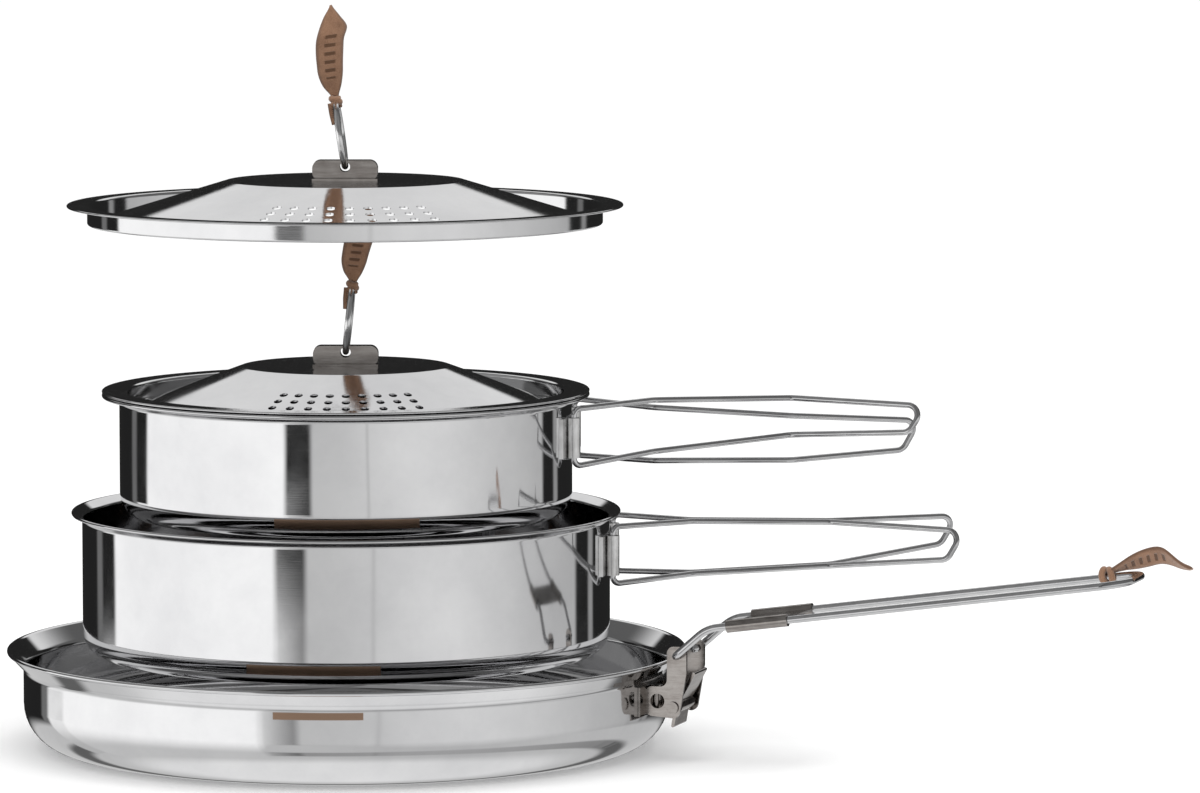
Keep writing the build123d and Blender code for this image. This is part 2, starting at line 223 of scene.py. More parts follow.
def satin_steel(name, tone_low, tone_high, rough_low, rough_high, grain):
    """Stamped or drawn steel: directional grain, stains and rubbed patches."""
    material, nodes, shader, place = new_material(name)
    streaks = nodes.noise(nodes.stretch(place, grain), 1.0, 3.0, 0.6)
    patches = nodes.noise(place, 130.0, 4.0, 0.6)
    both = nodes.math("MULTIPLY_ADD", streaks, 0.5, nodes.times(patches, 0.5))
    tone = nodes.mix(nodes.remap(both, 0.35, 0.65), (*tone_low, 1), (*tone_high, 1))
    nodes.link(tone, shader.inputs["Base Color"])
    nodes.link(nodes.remap(both, 0.3, 0.7, rough_low, rough_high), shader.inputs["Roughness"])
    nodes.link(nodes.bump(streaks, 0.00003, 0.3), shader.inputs["Normal"])
    shader.inputs["Metallic"].default_value = 1.0
    return material


def suede(name):
    """Brown suede: nap, colour drift, darker rubbed edges and a row of pressed bars."""
    material, nodes, shader, place = new_material(name)
    surface = nodes.add("ShaderNodeUVMap", uv_map="tag").outputs[0]
    split = nodes.add("ShaderNodeSeparateXYZ")
    nodes.link(surface, split.inputs[0])
    across, along, _ = split.outputs
    nap = nodes.noise(place, 2600.0, 4.0, 0.7)
    drift = nodes.noise(place, 170.0, 4.0, 0.6)
    pores = nodes.noise(place, 900.0, 2.0, 0.5)
    edge = nodes.remap(nodes.math("ABSOLUTE", nodes.math("SUBTRACT", across, 0.5)), 0.36, 0.5)
    brown, dark_brown = (0.285, 0.152, 0.088, 1), (0.175, 0.088, 0.05, 1)
    pale_nap, rubbed = (0.41, 0.255, 0.165, 1), (0.075, 0.04, 0.028, 1)
    pressed = (0.07, 0.03, 0.012, 1)
    bar_count = 11.0
    tone = nodes.mix(nodes.remap(drift, 0.3, 0.72), brown, dark_brown)
    tone = nodes.mix(nodes.remap(nap, 0.35, 0.75, 0.0, 0.5), tone, pale_nap)
    tone = nodes.mix(nodes.times(edge, 0.65), tone, rubbed)
    wave = nodes.math("SINE", nodes.times(along, 2 * pi * bar_count))
    bars = nodes.times(nodes.remap(wave, 0.1, 0.6, smooth=True),
                       nodes.band(across, 0.3, 0.7, 0.04), nodes.band(along, 0.2, 0.72, 0.01))
    tone = nodes.mix(nodes.times(bars, 0.8), tone, pressed)
    nodes.link(tone, shader.inputs["Base Color"])
    nodes.link(nodes.remap(drift, 0.3, 0.7, 0.78, 0.95), shader.inputs["Roughness"])
    shader.inputs["Sheen Weight"].default_value = 0.35
    shader.inputs["Sheen Roughness"].default_value = 0.5
    shader.inputs["Specular IOR Level"].default_value = 0.25
    normal = nodes.bump(nap, 0.00012, 0.6)
    normal = nodes.bump(pores, 0.00015, 0.4, normal)
    normal = nodes.bump(nodes.times(bars, -1.0), 0.0003, 0.8, normal)
    nodes.link(normal, shader.inputs["Normal"])
    return material


# ------------------------------------------------------------------ mesh helpers
def rounded(points, radii, steps=6):
    """Points of a line whose corners are arcs. Works in the plane and in space."""
    line = [Vector(points[0])]
    for before, corner, after, radius in zip(points, points[1:], points[2:], radii):
        before, corner, after = Vector(before), Vector(corner), Vector(after)
        if radius <= 0:
            line.append(corner)
            continue
        back, ahead = (before - corner).normalized(), (after - corner).normalized()
        half_turn = back.angle(ahead) / 2
        reach = radius / tan(half_turn)
        centre = corner + (back + ahead).normalized() * radius / sin(half_turn)
        start, end = corner + back * reach - centre, corner + ahead * reach - centre
        sweep = start.angle(end)
        for step in range(steps + 1):
            part = step / steps
            weight_start = sin((1 - part) * sweep) / sin(sweep)
            weight_end = sin(part * sweep) / sin(sweep)
            line.append(centre + start * weight_start + end * weight_end)
    line.append(Vector(points[-1]))
    return line


def hold_straights(points):
    """Add a point near each end of every long straight, so it stays flat in the shading."""
    held = [Vector(points[0])]
    for start, end in zip(points, points[1:]):
        run = Vector(end) - Vector(start)
        if run.length > LONG_STRAIGHT:
            step = run.normalized() * HOLD_GAP
            held += [Vector(start) + step, Vector(end) - step]
        held.append(Vector(end))
    return held


def finish_piece(mesh, name, material, body, slot, *nodes):
    """A named, smooth-shaded object that rides on a body and stands for CAD nodes."""
    piece = bpy.data.objects.new(name, mesh)
    bpy.context.collection.objects.link(piece)
    piece.data.materials.append(material)
    for face in piece.data.polygons:
        face.use_smooth = True
    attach(piece, body)
    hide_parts(*nodes)
    return piece


def mesh_from(bm, name):
    """The finished mesh: doubles merged, faces turned outwards."""
    bmesh.ops.remove_doubles(bm, verts=bm.verts, dist=SAME_SPOT)
    bmesh.ops.recalc_face_normals(bm, faces=bm.faces)
    mesh = bpy.data.meshes.new(name)
    bm.to_mesh(mesh)
    bm.free()
    return mesh


def sharpen(piece, angle):
    """Corners sharper than angle stay crisp under smooth shading."""
    piece.data.set_sharp_from_angle(angle=radians(angle))


def bridge(bm, first, second):
    """Faces between two closed rows of equally many points; a row may be one point repeated."""
    count = len(first)
    for i in range(count):
        j = (i + 1) % count
        corners = list(dict.fromkeys((first[i], first[j], second[j], second[i])))
        if len(corners) > 2:
            bm.faces.new(corners)


def lathe(profile, angles):
    """A closed profile of (radius, height) turned about the axis."""
    bm = bmesh.new()
    rings = []
    for radius, height in profile:
        if radius < SAME_SPOT:
            rings.append([bm.verts.new((0, 0, height))] * len(angles))
        else:
            rings.append([bm.verts.new((radius * cos(a), radius * sin(a), height)) for a in angles])
    for low, high in zip(rings, rings[1:]):
        bridge(bm, low, high)
    return bm, rings


def even_angles(count):
    return [2 * pi * i / count for i in range(count)]


def tube(points, radius, sides=20, closed=False, taper=None):
    """A round wire along points, with capped and softened ends unless it is closed."""
    bm = bmesh.new()
    count = len(points)
    side = None
    rings = []
    for i, point in enumerate(points):
        before = points[(i - 1) % count] if closed or i else point
        after = points[(i + 1) % count] if closed or i < count - 1 else point
        along = (after - before).normalized()
        if side is None:
            side = along.orthogonal().normalized()
        side = (side - along * side.dot(along)).normalized()
        other = along.cross(side)
        here = radius * (taper(i / (count - 1)) if taper else 1.0)
        rings.append([
            bm.verts.new(point + side * here * cos(a) + other * here * sin(a))
            for a in even_angles(sides)
        ])
    pairs = list(zip(rings, rings[1:]))
    if closed:
        pairs.append((rings[-1], rings[0]))
    for low, high in pairs:
        bridge(bm, low, high)
    if not closed:
        for ring in (rings[0], rings[-1]):
            rim = [e for e in bm.edges if e.verts[0] in ring and e.verts[1] in ring]
            bm.faces.new(ring)
            bmesh.ops.bevel(bm, geom=rim, offset=radius * 0.3, segments=2, affect="EDGES")
    return bm


# ------------------------------------------------------------------ vessels
def vessel_profile(node, lip, lip_height, corner, gauge, bead):
    """Outer and inner line of a dish whose lip ends in a small rolled bead."""
    low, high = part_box(node)
    rim_r, bottom, top = high.x, low.z, high.z
    wall_r = rim_r - lip
    lip_z = top - lip_height
    outer = rounded(
        [(0.3 * wall_r, bottom + 0.25 * mm), (0.55 * wall_r, bottom), (wall_r, bottom),
         (wall_r, lip_z), (rim_r - bead, top - 2 * bead)],
        [8 * mm, corner, lip_height * 0.45], 10)
    bead_centre = Vector((rim_r - bead, top - bead))
    roll = [bead_centre + Vector((bead * sin(a), -bead * cos(a)))
            for a in [radians(10 + 17 * i) for i in range(11)]]
    inner_r = wall_r - gauge
    inner = rounded(
        [(rim_r - 2.1 * bead, top - 0.35 * bead), (inner_r, lip_z + gauge * 0.5),
         (inner_r, bottom + gauge), (0.55 * wall_r, bottom + gauge),
         (0.3 * wall_r, bottom + gauge + 0.25 * mm)],
        [lip_height * 0.45, corner - gauge, 8 * mm], 10)
    start = [Vector((0.0, bottom + 0.25 * mm))]
    end = [Vector((0.0, bottom + gauge + 0.25 * mm))]
    return [tuple(p) for p in hold_straights(start + outer + roll + inner + end)]


def make_vessel(node, body, lip, lip_height, corner, gauge, bead, material):
    profile = vessel_profile(node, lip, lip_height, corner, gauge, bead)
    bm, _ = lathe(profile, even_angles(288))
    return finish_piece(mesh_from(bm, node + "_skin"), node + "_skin", material, body,
                        "steel_polished", node)


# ------------------------------------------------------------------ lids
HOLES = 9
ROWS = 3
PITCH = radians(6.05)
PER_CELL = 6                       # mesh steps across one hole's cell
REST_STEPS = 300                   # mesh steps round the lid beside the fan of holes


def make_lid(node, body, plug_inset, plateau_r, hole_r, first_r, row_step, turn, material):
    """Flange with a turned edge, plug, groove, cone with real holes, and plateau."""
    low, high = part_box(node)
    flange_r = high.x
    plateau_z = high.z
    top = plateau_z - PLATEAU_RISE + LID_GAUGE
    under = top - LID_GAUGE
    plug_r = flange_r - plug_inset
    groove_r = plug_r - 1.5 * mm
    floor = under - LID_DEPTH
    edge = LID_GAUGE * 0.5
    slope = (plateau_z - floor - LID_GAUGE) / (groove_r - plateau_r)

    def cone(radius, drop):
        return floor + LID_GAUGE - drop + slope * (groove_r - radius)

    grid_r = [first_r + (i / PER_CELL - 0.5) * row_step for i in range(ROWS * PER_CELL + 1)]
    upper = [Vector((0, plateau_z))]
    upper += rounded([(plateau_r * 0.5, plateau_z), (plateau_r, plateau_z),
                      (grid_r[0] - 2 * mm, cone(grid_r[0] - 2 * mm, 0))], [2.2 * mm], 6)
    upper += [Vector((r, cone(r, 0))) for r in grid_r]
    upper += rounded([(grid_r[-1] + mm, cone(grid_r[-1] + mm, 0)), (groove_r, floor + LID_GAUGE),
                      (plug_r - LID_GAUGE, floor + LID_GAUGE), (plug_r - LID_GAUGE, top),
                      (flange_r - edge, top)], [0.6 * mm, 0.5 * mm, 1.2 * mm], 5)
    upper += [Vector((flange_r - edge + edge * sin(a), under + edge + edge * cos(a)))
              for a in [radians(30 * i) for i in range(1, 6)]]
    lower = rounded([(flange_r - edge, under), (plug_r, under), (plug_r, floor),
                     (groove_r, floor), (grid_r[-1] + mm, cone(grid_r[-1] + mm, LID_GAUGE))],
                    [0.5 * mm, 0.7 * mm, 0.5 * mm], 5)
    lower += [Vector((r, cone(r, LID_GAUGE))) for r in reversed(grid_r)]
    lower += rounded([(grid_r[0] - 2 * mm, cone(grid_r[0] - 2 * mm, LID_GAUGE)),
                      (plateau_r, plateau_z - LID_GAUGE), (plateau_r * 0.5, plateau_z - LID_GAUGE)],
                     [1.6 * mm], 6)
    lower.append(Vector((0, plateau_z - LID_GAUGE)))
    upper, lower = hold_straights(upper), hold_straights(lower)
    profile = [tuple(p) for p in upper + lower]

    fan_start = radians(FRONT_AZIMUTH + turn) - PITCH * HOLES / 2
    fan = [fan_start + PITCH * i / PER_CELL for i in range(HOLES * PER_CELL + 1)]
    around = 2 * pi - PITCH * HOLES
    angles = fan + [fan[-1] + around * i / REST_STEPS for i in range(1, REST_STEPS)]
    bm, rings = lathe(profile, angles)

    def row_at(line, radius):
        """Place in a line of its first point at a radius."""
        return next(i for i, p in enumerate(line) if abs(p[0] - radius) < 1e-6)

    first_upper = row_at(upper, grid_r[0])
    first_lower = len(upper) + row_at(lower, grid_r[0])

    def open_cell(start_row, step, column, radius_mid, angle_mid, drop):
        """Swap one cell's grid for a collar of faces round a hole, and return its edge."""
        rows = [start_row + step * i for i in range(PER_CELL + 1)]
        cols = [column + i for i in range(PER_CELL + 1)]
        cell = {rings[r][c] for r in rows for c in cols}
        faces = [f for f in bm.faces if all(v in cell for v in f.verts)]
        border = [(rows[0], c) for c in cols] + [(r, cols[-1]) for r in rows[1:]]
        border += [(rows[-1], c) for c in reversed(cols[:-1])] + [(r, cols[0]) for r in rows[-2:0:-1]]
        outline = [rings[r][c] for r, c in border]
        bmesh.ops.delete(bm, geom=faces, context="FACES")
        middle = Vector((radius_mid * cos(angle_mid), radius_mid * sin(angle_mid), 0))
        rim = []
        for vert in outline:
            away = Vector((vert.co.x, vert.co.y, 0)) - middle
            spot = middle + away.normalized() * hole_r
            spot.z = cone(hypot(spot.x, spot.y), drop)
            rim.append(bm.verts.new(spot))
        bridge(bm, outline, rim)
        return rim

    for row in range(ROWS):
        for hole in range(HOLES):
            radius_mid = first_r + row * row_step
            angle_mid = fan_start + PITCH * (hole + 0.5)
            column = hole * PER_CELL
            above = open_cell(first_upper + row * PER_CELL, 1, column, radius_mid, angle_mid, 0)
            below = open_cell(first_lower - row * PER_CELL, -1, column, radius_mid, angle_mid,
                              LID_GAUGE)
            bridge(bm, above, below)
    loose = [v for v in bm.verts if not v.link_faces]
    bmesh.ops.delete(bm, geom=loose, context="VERTS")
    piece = finish_piece(mesh_from(bm, node + "_skin"), node + "_skin", material, body,
                         "steel_polished", node)
    sharpen(piece, 50)
    return piece


# ------------------------------------------------------------------ wire handles
def make_pot_loop(node, body, joint, side, upper_heights, lower_heights, material):
    """One loop of wire; the heights of its two wires are millimetres over the knuckle's middle."""
    px, py, pz = joints[joint]["pos_m"]
    reach = (0.0, 29 * mm, 80 * mm, 125 * mm)
    across = (abs(py), 2 * mm, 2 * mm, 24.5 * mm)
    slant = (0.0, 0.0, 0.0, 3 * mm)
    upper = [Vector((px + r + s, side * y, pz + z * mm))
             for r, y, z, s in zip(reach, across, upper_heights, slant)]
    lower = [Vector((px + r - s, side * y, pz + z * mm))
             for r, y, z, s in zip(reach, across, lower_heights, slant)]
    line = [Vector((px, py, pz + 0.3 * mm))] + upper + lower[::-1]
    line.append(Vector((px, py, pz - 0.3 * mm)))
    bends = [2.6 * mm, 8 * mm, 8 * mm, 4 * mm]
    points = rounded(line, bends + bends[::-1], 10)
    return finish_piece(mesh_from(tube(points, LOOP_WIRE_R), node + "_wire"), node + "_wire",
                        material, body, "steel_wire", node)


# the pan handle in millimetres from its pivot: (outwards, up) of its bends, and its half width
HANDLE_SHOULDER = (12.5, 11.0)
HANDLE_TIP = (167.0, 33.2)
HANDLE_HALF = 16.0
HANDLE_PIVOT_IN = 8.0              # where the wire's ends stop inside the ears
hinge = Vector(joints["pan_handle_fold"]["pos_m"])
outwards = Vector((hinge.x, hinge.y, 0)).normalized()
sideways = Vector((-outwards.y, outwards.x, 0))
up = Vector((0, 0, 1))


def by_handle(out, across, rise):
    """A point given from the pan handle's pivot: outwards, across and up, in millimetres."""
    return hinge + outwards * out * mm + sideways * across * mm + up * rise * mm


def make_pan_handle(material):
    """A hairpin of wire from one ear out to the tip and back to the other ear."""
    side = [(0, HANDLE_PIVOT_IN, 0), (0, HANDLE_HALF, 0),
            (HANDLE_SHOULDER[0], HANDLE_HALF, HANDLE_SHOULDER[1]),
            (HANDLE_TIP[0], HANDLE_HALF, HANDLE_TIP[1])]
    line = [by_handle(*p) for p in side] + [by_handle(u, -v, z) for u, v, z in side[::-1]]
    bends = [3 * mm, 14 * mm, 0.6 * HANDLE_HALF * mm]
    points = rounded(line, bends + bends[::-1], 16)
    return finish_piece(mesh_from(tube(points, HANDLE_WIRE_R, 24), "pan_handle_bail"),
                        "pan_handle_bail", material, "pan_handle", "steel_wire",
                        "pan_handle_wire")


# ------------------------------------------------------------------ rings and leather tags
def lean_of(node, joint):
    """How far a ring leans at rest, from where its CAD node lies over its pivot."""
    low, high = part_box(node)
    pivot = Vector(joints[joint]["pos_m"])
    middle = (low + high) / 2 - pivot
    return atan2(middle.x, middle.z)


def make_ring(node, joint, body, material):
    """A closed ring of wire that stands on its pivot and leans as the CAD ring does."""
    pivot = Vector(joints[joint]["pos_m"])
    turn = Matrix.Translation(pivot) @ Matrix.Rotation(lean_of(node, joint), 4, "Y")
    points = [turn @ Vector((0, RING_R * sin(a), RING_R - RING_R * cos(a)))
              for a in even_angles(96)]
    return finish_piece(mesh_from(tube(points, RING_WIRE_R, 20, closed=True), node + "_wire"),
                        node + "_wire", material, body, "steel_wire", node)


def smooth_step(value):
    value = min(max(value, 0.0), 1.0)
    return value * value * (3 - 2 * value)


def along_points(points, part):
    """A value between evenly spaced knots, with a smooth Catmull-Rom line through them."""
    place = part * (len(points) - 1)
    i = min(int(place), len(points) - 2)
    t = place - i
    a, b, c, d = (points[min(max(i + k, 0), len(points) - 1)] for k in (-1, 0, 1, 2))
    return 0.5 * (2 * b + (c - a) * t + (2 * a - 5 * b + 4 * c - d) * t * t
                  + (3 * b - a - 3 * c + d) * t ** 3)


def leather_sheet(name, left, right, place, thickness, rows=56, columns=12):
    """A strip whose edges follow left and right, laid in space by place(across, along)."""
    edge_share, least_thickness = 0.22, 0.35
    bm = bmesh.new()
    layer = bm.loops.layers.uv.new("tag")
    uv_of = {}
    sides = []
    for sign in (-1, 1):
        grid = []
        for i in range(rows + 1):
            part = i / rows
            x_left, x_right = along_points(left, part), along_points(right, part)
            line = []
            for j in range(columns + 1):
                across = j / columns
                from_edge = min(across, 1 - across, part * 3, (1 - part) * 3) * 2
                full = (from_edge / edge_share) ** 0.5 if from_edge < edge_share else 1.0
                spot, normal = place(x_left + (x_right - x_left) * across, part)
                reach = sign * thickness / 2 * max(full, least_thickness)
                line.append(bm.verts.new(spot + normal * reach))
                uv_of[line[-1]] = (across, part)
            grid.append(line)
        sides.append(grid)
    for grid in sides:
        for low, high in zip(grid, grid[1:]):
            for j in range(columns):
                bm.faces.new([low[j], low[j + 1], high[j + 1], high[j]])
    back_edge, front_edge = (
        grid[0] + [line[-1] for line in grid[1:]] + grid[-1][-2::-1]
        + [line[0] for line in grid[-2:0:-1]] for grid in sides)
    bridge(bm, back_edge, front_edge)
    for face in bm.faces:
        for loop in face.loops:
            loop[layer].uv = uv_of[loop.vert]
    return mesh_from(bm, name)


# left and right edge of a lid's tag along its length, in millimetres
LEAF_LEFT = [-1.3, -4.2, -5.7, -6.0, -5.9, -5.2, -3.4, -0.9, 2.3]
LEAF_RIGHT = [1.3, 2.6, 3.4, 3.8, 4.4, 5.2, 6.9, 5.0, 3.0]


PLAIN_SUEDE = (0.5, 0.05)          # a spot of the tag's surface beside edge and bars


def knot_mesh(name, turn, height, width):
    """A short strap wound twice round itself: a knot with a crossing."""
    steps = 71
    strap_r = 1.25 * mm
    radius = width / 2 - 1.0 * mm
    points = []
    for i in range(steps + 1):
        part = i / steps
        angle = part * 4 * pi
        points.append(turn @ Vector((radius * cos(angle), radius * 1.15 * sin(angle),
                                     height * (part - 0.5) + 0.5 * mm * sin(angle * 1.5))))
    bm = tube(points, strap_r, 14, taper=lambda part: 1.0 if 0.05 < part < 0.95 else 0.7)
    layer = bm.loops.layers.uv.new("tag")
    for face in bm.faces:
        for loop in face.loops:
            loop[layer].uv = PLAIN_SUEDE
    return mesh_from(bm, name)


def join_meshes(name, meshes):
    """One mesh of several, with their surface coordinates kept."""
    bm = bmesh.new()
    for mesh in meshes:
        bm.from_mesh(mesh)
    joined = bpy.data.meshes.new(name)
    bm.to_mesh(joined)
    bm.free()
    return joined


def make_lid_tag(node, ring_node, joint, body, length, material):
    """Leaf of suede on a knot round the top of the ring, with the strap's end hanging."""
    pivot = Vector(joints[joint]["pos_m"])
    turn = Matrix.Translation(pivot) @ Matrix.Rotation(lean_of(ring_node, joint), 4, "Y")
    top = 2 * RING_R
    leaf_start = top + 2.6 * mm

    def leaf(across, part):
        twist = 0.35 * sin(part * pi) - 0.15
        curl = 2.4 * mm * sin(part * pi * 0.9)
        bow = 0.036 * mm * across**2
        x, y = across * mm * cos(twist), across * mm * sin(twist) - curl + bow
        spot = Vector((x + 1.2 * mm * sin(part * 2.6), y, leaf_start + part * length))
        normal = Vector((sin(twist), -cos(twist), 0))
        return turn @ spot, (turn.to_3x3() @ normal)

    def tail(across, part):
        angle = 0.5 - part * 0.25
        spot = Vector((-1.7 * mm + across * mm * cos(angle), across * mm * sin(angle) - 1.0 * mm,
                       top + 0.5 * mm - part * 8.0 * mm))
        return turn @ spot, (turn.to_3x3() @ Vector((sin(angle), -cos(angle), 0)))

    meshes = [
        leather_sheet(node + "_leaf", LEAF_LEFT, LEAF_RIGHT, leaf, 1.5 * mm),
        leather_sheet(node + "_end", [-1.4, -1.3, -0.9], [1.4, 1.3, 0.9], tail, 1.3 * mm, 20, 6),
        knot_mesh(node + "_knot", turn @ Matrix.Translation((0, 0, top + 0.6 * mm)), 3.6 * mm,
                  4.6 * mm),
    ]
    return finish_piece(join_meshes(node + "_leather", meshes), node + "_leather", material,
                        body, "leather", node)


def make_handle_tag(material):
    """Suede tag knotted round the handle's far wire, rising and curling outwards."""
    knot_back, length = 14.0, 31.5
    slope = (HANDLE_TIP[1] - HANDLE_SHOULDER[1]) / (HANDLE_TIP[0] - HANDLE_SHOULDER[0])
    start = (HANDLE_TIP[0] - knot_back, HANDLE_HALF, HANDLE_TIP[1] - knot_back * slope + 0.2)

    def strip(across, part):
        out = start[0] + length * part
        rise = 7.4 * sin(min(part * 1.4, 1.0) * pi / 2) - 4.6 * smooth_step((part - 0.55) / 0.45)
        lean = 0.35 + 0.6 * sin(part * pi)
        side_shift = across * cos(lean)
        spot = by_handle(out, start[1] - 2.0 * part - side_shift, start[2] + 1.6 + rise
                         + across * sin(lean) * 0.8)
        normal = (sideways * sin(lean) + up * cos(lean)).normalized()
        return spot, normal

    turn = Matrix.Translation(by_handle(start[0], start[1], start[2] + 0.2))
    turn = turn @ outwards.to_track_quat("Z", "Y").to_matrix().to_4x4()
    meshes = [
        leather_sheet("handle_leaf", [-1.6, -3.4, -5.2, -5.8, -5.4, -4.4, -3.2, -0.6],
                      [1.6, 3.0, 4.2, 4.8, 5.2, 5.8, 3.4, 1.6], strip, 1.5 * mm),
        knot_mesh("handle_knot", turn, 5.4 * mm, 6.2 * mm),
    ]
    return finish_piece(join_meshes("pan_tag_leather", meshes), "pan_tag_leather", material,
                        "pan_handle", "leather", "pan_tag")


# ------------------------------------------------------------------ materials
large_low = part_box("large_pot")[0].z
small_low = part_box("small_pot")[0].z
VESSEL_BRUSHING = 0.02
# plain bars on the front: middle x, middle z, half width, half height, least radius
PAN_BAR = (-6 * mm, 27 * mm, 16 * mm, 1.3 * mm, 118.5 * mm)
LARGE_BAR = (-8.5 * mm, large_low + 6 * mm, 24 * mm, 1.8 * mm, 90 * mm)
SMALL_BAR = (3 * mm, small_low + 6 * mm, 26 * mm, 1.8 * mm, 76 * mm)
pan_steel = polished_steel("pan_steel", brushing=VESSEL_BRUSHING, mark=PAN_BAR)
large_steel = polished_steel("large_pot_steel", brushing=VESSEL_BRUSHING, mark=LARGE_BAR)
small_steel = polished_steel("small_pot_steel", brushing=VESSEL_BRUSHING, mark=SMALL_BAR)
lid_steel = polished_steel("lid_steel", (0.05, 0.12), 0.6)
plate_steel = satin_steel("plate_steel", (0.23, 0.208, 0.193), (0.42, 0.395, 0.375), 0.10, 0.22,
                          (120.0, 120.0, 900.0))
knuckle_steel = satin_steel("knuckle_steel", (0.52, 0.515, 0.51), (0.80, 0.80, 0.80), 0.10, 0.22,
                            (300.0, 300.0, 120.0))
wire_steel = satin_steel("wire_steel", (0.56, 0.56, 0.57), (0.68, 0.68, 0.685), 0.06, 0.16,
                         (60.0, 500.0, 500.0))
ring_steel = satin_steel("ring_steel", (0.74, 0.74, 0.745), (0.86, 0.86, 0.86), 0.14, 0.26,
                         (60.0, 60.0, 500.0))
leather = suede("suede")

# ------------------------------------------------------------------ build the pieces
make_vessel("frying_pan", "pan", lip=PAN_LIP, lip_height=7 * mm, corner=17 * mm,
            gauge=PAN_GAUGE, bead=0.8 * mm, material=pan_steel)
for pot, lip, steel in (("large_pot", LARGE_LIP, large_steel), ("small_pot", SMALL_LIP, small_steel)):
    make_vessel(pot, pot, lip=lip, lip_height=2.6 * mm, corner=9 * mm, gauge=POT_GAUGE,
                bead=0.6 * mm, material=steel)
large_lid = make_lid("large_lid", "large_lid", plug_inset=7.5 * mm, plateau_r=43.4 * mm,
                     hole_r=1.65 * mm, first_r=63 * mm, row_step=5.6 * mm, turn=3.4,
                     material=lid_steel)
make_lid("small_lid", "small_lid", plug_inset=9.0 * mm, plateau_r=38.2 * mm, hole_r=1.5 * mm,
         first_r=54.5 * mm, row_step=5.0 * mm, turn=2.0, material=lid_steel)

# the lids are lit each by itself, so the upper one doesn't darken the lower one's reflections
large_lid.visible_glossy = False

# heights of a loop's upper and lower wire at its four bends, from the knuckle outwards
RISE = 10.5
LARGE_LOOP = ((RISE, RISE, RISE - 0.3, RISE - 1.0), (-RISE, -RISE + 1.5, -RISE + 4.5, -RISE + 9.5))
LOOP_HEIGHTS = {
    "large_near": LARGE_LOOP,
    "large_far": LARGE_LOOP,
    "small_near": ((RISE, RISE + 1.6, RISE + 2.4, RISE + 1.6),
                   (-RISE, -RISE + 3.6, -RISE + 9.8, -RISE + 13.0)),
    "small_far": ((RISE, RISE - 1.5, RISE - 4.6, RISE - 8.6),
                  (-RISE, -RISE - 0.2, -RISE, -RISE + 1.4)),
}
for size in ("large", "small"):
    for which, side in (("near", -1), ("far", 1)):
        heights = LOOP_HEIGHTS[f"{size}_{which}"]
        make_pot_loop(f"{size}_pot_loop_{which}", f"{size}_loop_{which}",
                      f"{size}_loop_{which}_fold", side, *heights, wire_steel)
make_pan_handle(wire_steel)
for size, length in (("large", 33.5 * mm), ("small", 29 * mm)):
    make_ring(f"{size}_lid_ring", f"{size}_ring_swing", f"{size}_lid_ring", ring_steel)
    make_lid_tag(f"{size}_lid_tag", f"{size}_lid_ring", f"{size}_ring_swing",
                 f"{size}_lid_ring", length, leather)
make_handle_tag(leather)

for name in ("large_lid_bracket", "small_lid_bracket", "large_pot_bracket", "small_pot_bracket",
             "pan_bracket", "pan_latch_pin", "pan_latch_lever", "pan_handle_saddle"):
    node = frame["nodes"][name]
    node.data.materials.clear()
    node.data.materials.append(knuckle_steel if "pot_bracket" in name else plate_steel)

# ------------------------------------------------------------------ stage, light and camera
FLOOR_REACH = 60.0
floor_mesh = bpy.data.meshes.new("floor")
floor_mesh.from_pydata([(FLOOR_REACH * x, FLOOR_REACH * y, 0)
                        for x, y in ((-1, -1), (1, -1), (1, 1), (-1, 1))], [], [(0, 1, 2, 3)])
floor = bpy.data.objects.new("floor", floor_mesh)
bpy.context.collection.objects.link(floor)
floor.visible_glossy = False
floor_paint, _, floor_shader, _ = new_material("floor_paint")
floor_shader.inputs["Base Color"].default_value = (0.97, 0.97, 0.97, 1)
floor_shader.inputs["Emission Color"].default_value = (1, 1, 1, 1)
floor_shader.inputs["Emission Strength"].default_value = 0.05
floor_shader.inputs["Roughness"].default_value = 0.9
floor_shader.inputs["Specular IOR Level"].default_value = 0.0
floor_mesh.materials.append(floor_paint)

bpy.context.scene.view_settings.view_transform = "Standard"


def low_cards(sky, bearing, height):
    """Cards round the set at its own height, with a slot beside the camera."""
    right = sky.times(
        sky.band(bearing, -16.0, 121.0, 1.6),
        sky.remap(bearing, -16.0, 40.0, 0.60, 0.80, smooth=True),
        sky.remap(bearing, 52.0, 116.0, 1.0, 0.62),
        sky.less_band(bearing, 12.3, 13.7, 0.8, 0.2))
    left = sky.times(sky.band(bearing, -119.0, -29.0, 1.6), 1.12)
    # lower down, beside the pan, both cards reach further round
    lower_down = sky.remap(height, -8.2, -7.6, 1.0, 0.0, smooth=True)
    left_end = sky.times(sky.band(bearing, -131.0, -119.0, 1.6), 0.95, lower_down)
    right_end = sky.times(sky.band(bearing, 121.0, 132.0, 1.6), 0.42, lower_down)
    left_strip = sky.times(sky.band(bearing, -137.0, -131.0, 1.5), 0.16)
    right_strip = sky.times(sky.band(bearing, 133.0, 138.0, 1.5), 0.30)
    # the slot is closed low down, and partly closed high up
    slot = sky.band(bearing, -29.0, -16.0, 1.2)
    slot_low = sky.times(slot, sky.remap(height, -7.3, -6.75, 1.0, 0.0, smooth=True),
                         sky.remap(bearing, -28.0, -17.0, 0.75, 0.28))
    slot_high = sky.times(slot, sky.remap(height, -5.3, -4.8, 0.0, 0.24, smooth=True))
    cards = sky.plus(right, left, left_end, right_end, left_strip, right_strip, slot_low, slot_high)
    return sky.times(cards, sky.remap(height, 1.0, 9.0, 1.0, 0.22, smooth=True),
                     sky.remap(height, -32.0, -9.0, 0.55, 1.0, smooth=True))


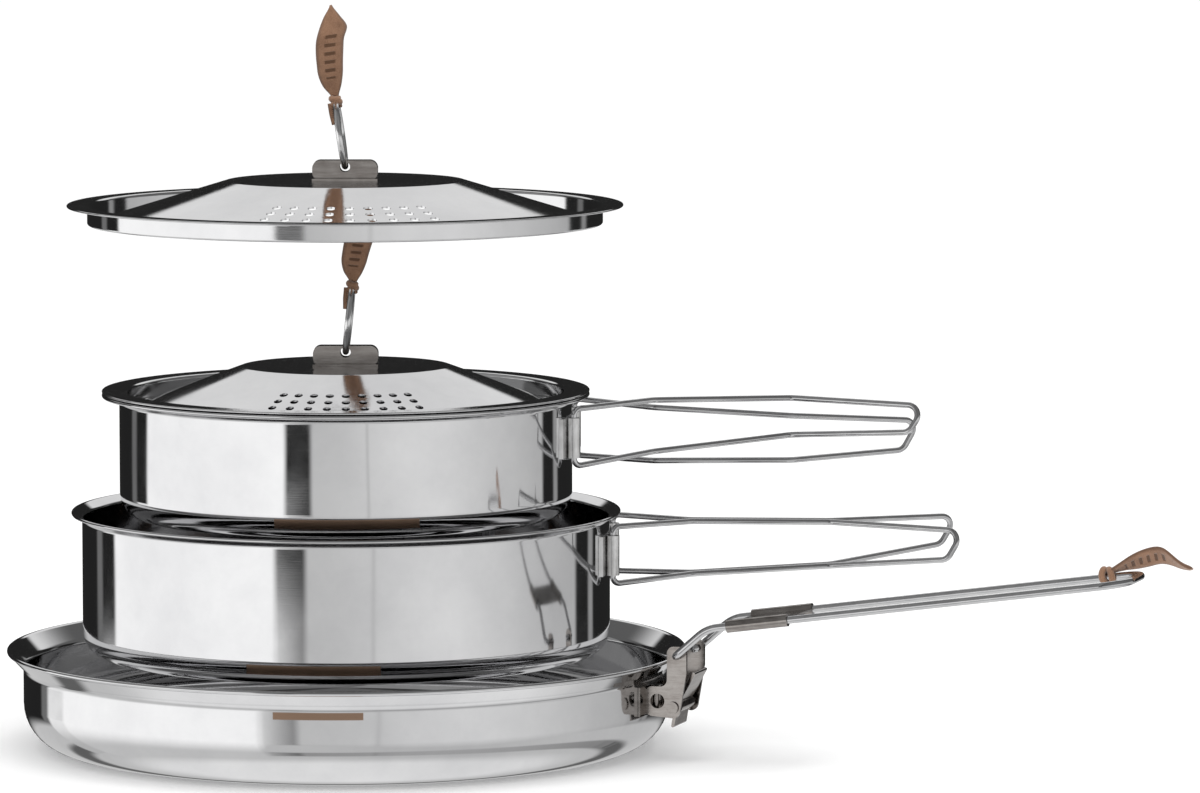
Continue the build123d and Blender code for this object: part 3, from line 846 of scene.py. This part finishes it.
def overhead_card(sky, bearing, height):
    """A ceiling card, bright at the back only and dimmer again towards straight up."""
    return sky.times(
        sky.remap(height, 15.0, 18.0, 0.0, 0.78, smooth=True),
        sky.remap(height, 57.0, 65.0, 1.0, 0.14, smooth=True),
        sky.remap(sky.math("ABSOLUTE", bearing), 138.0, 156.0, 0.13, 1.0, smooth=True))


def ground_card(sky, height):
    """The pale table below, with one darker band."""
    return sky.times(
        sky.remap(height, -16.0, -10.5, 0.58, 0.0, smooth=True),
        sky.remap(height, -60.0, -40.0, 1.5, 1.0, smooth=True),
        sky.less_band(height, -37.0, -29.0, 2.0, 0.8))


# the world is white, but reflections see a studio of plain cards, set by direction in degrees:
# bearing runs round from the front, and height up from level
DEGREE = 180 / pi
ROOM_TONE = 0.018
world = bpy.data.worlds.new("studio")
bpy.context.scene.world = world
world.use_nodes = True
sky = Nodes(world.node_tree)
split = sky.add("ShaderNodeSeparateXYZ")
sky.link(sky.add("ShaderNodeTexCoord").outputs["Generated"], split.inputs[0])
sx, sy, sz = split.outputs
bearing = sky.times(sky.math("ARCTAN2", sx, sky.times(sy, -1.0)), DEGREE)
height = sky.times(sky.math("ARCSINE", sz), DEGREE)
light = sky.math("MAXIMUM", low_cards(sky, bearing, height), overhead_card(sky, bearing, height))
light = sky.plus(sky.math("MAXIMUM", light, ground_card(sky, height)), ROOM_TONE)
path = sky.add("ShaderNodeLightPath")
grey = sky.add("ShaderNodeCombineColor")
for socket in grey.inputs:
    sky.link(light, socket)
seen = sky.mix(path.outputs["Is Glossy Ray"], (1.0, 1.0, 1.0, 1), grey.outputs[0])
background = sky.add("ShaderNodeBackground")
sky.link(seen, background.inputs[0])
background.inputs[1].default_value = 1.0
sky.link(background.outputs[0], sky.add("ShaderNodeOutputWorld").inputs[0])

lamp = bpy.data.lights.new("overhead_box", "AREA")
lamp.shape = "RECTANGLE"
lamp.size, lamp.size_y = 1.6, 1.2
lamp.energy = 9.0
lamp_object = bpy.data.objects.new("overhead_box", lamp)
lamp_object.location = (0.1, -0.2, 1.6)
lamp_object.visible_glossy = False
bpy.context.collection.objects.link(lamp_object)

PHOTO_WIDTH = 1200.0
FOCAL_LENGTH = 7078.0              # in the same unit as the photo's width
MIDDLE_X = 0.0934
camera_data = bpy.data.cameras.new("camera")
camera_data.sensor_width = 36.0
camera_data.lens = FOCAL_LENGTH / PHOTO_WIDTH * camera_data.sensor_width
camera_data.clip_end = 200.0
camera = bpy.data.objects.new("camera", camera_data)
camera.location = (MIDDLE_X, -2.59, 0.383)
target = Vector((MIDDLE_X, 0.0, 0.1287))
camera.rotation_euler = (target - camera.location).to_track_quat("-Z", "Y").to_euler()
bpy.context.collection.objects.link(camera)
bpy.context.scene.camera = camera
